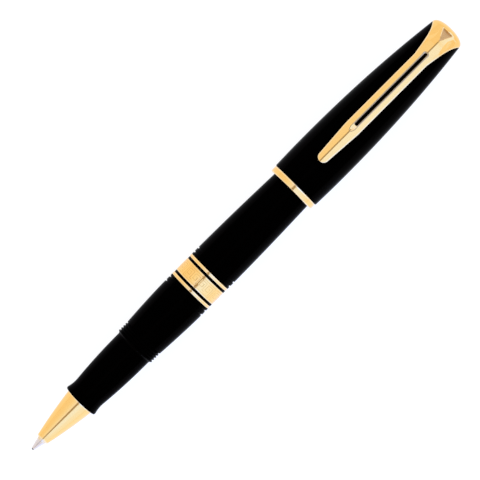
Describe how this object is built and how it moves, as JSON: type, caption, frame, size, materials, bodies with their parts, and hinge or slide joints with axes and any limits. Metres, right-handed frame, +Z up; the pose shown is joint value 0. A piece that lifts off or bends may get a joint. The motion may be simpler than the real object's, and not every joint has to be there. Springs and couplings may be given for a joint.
{
  "type": "rollerball pen",
  "caption": "Glossy black rollerball pen with gilt trim, its clipped cap posted on the tail, with a section that unscrews and a cap that pulls off.",
  "frame": {"origin": "centre of the pen's box on the plane that it lies on, halfway between the ball and the top of the crown", "axes": "+X along the pen towards the crown, the ball at -X; +Z up through the clip; +Y across the pen"},
  "size_m": [0.15, 0.0146, 0.0167],
  "materials": {
    "tungsten_carbide": "polished",
    "nickel_silver": "satin",
    "fibre": "matte",
    "ink_fibre": "matte",
    "refill_plastic": "satin",
    "dark_plastic": "satin",
    "gilt": "polished",
    "turned_brass": "turned",
    "black_resin": "high gloss",
    "spring_steel": "drawn"
  },
  "bodies": {
    "barrel": {"barrel_shell": "black_resin", "barrel_insert": "turned_brass", "front_spacer": "black_resin", "engraved_band": "gilt", "rear_spacer": "black_resin", "rear_trim_ring": "gilt", "tail_plug": "dark_plastic", "tail_spring": "spring_steel"},
    "front_ring": {"front_trim_ring": "gilt"},
    "section": {"grip_section": "black_resin", "nose_cone": "gilt", "section_core": "turned_brass", "section_nipple": "turned_brass"},
    "refill": {"refill_point": "nickel_silver", "refill_feed": "fibre", "refill_collar": "refill_plastic", "refill_tube": "refill_plastic", "ink_reservoir": "ink_fibre", "refill_plug": "dark_plastic"},
    "writing_ball": {"ball": "tungsten_carbide"},
    "cap": {"cap_shell": "black_resin", "cap_lip_ring": "gilt", "cap_clutch": "dark_plastic", "inner_cap": "dark_plastic", "clip_root": "gilt", "crown": "gilt", "crown_screw": "spring_steel", "crown_washer": "spring_steel"},
    "clip": {"clip_arm": "gilt"}
  },
  "joints": [
    {"name": "section_advance", "type": "slide", "parent": "barrel", "child": "front_ring", "axis": [-1, 0, 0], "range_m": [0, 0.004], "deforming": ["tail_spring"]},
    {"name": "section_unscrew", "type": "hinge", "parent": "front_ring", "child": "section", "pos_m": [-0.0185, 0, 0.00728], "axis": [-1, 0, 0], "range_deg": [0, 1800]},
    {"name": "refill_push", "type": "slide", "parent": "section", "child": "refill", "axis": [1, 0, 0], "range_m": [0, 0.0015], "stiffness_N_per_m": 800, "springref_m": -0.002, "deforming": ["tail_spring"]},
    {"name": "ball_roll", "type": "hinge", "parent": "refill", "child": "writing_ball", "pos_m": [-0.07465, 0, 0.00728], "axis": [0, 1, 0], "continuous": true},
    {"name": "cap_pull", "type": "slide", "parent": "barrel", "child": "cap", "axis": [1, 0, 0], "range_m": [0, 0.04]},
    {"name": "clip_lift", "type": "hinge", "parent": "cap", "child": "clip", "pos_m": [0.0672, 0, 0.0138], "axis": [0, 1, 0], "range_deg": [0, 3], "stiffness_Nm_per_rad": 2}
  ],
  "couplings": [
    {"joint": "section_unscrew", "follows": "section_advance", "rad_per_m": 7854}
  ]
}
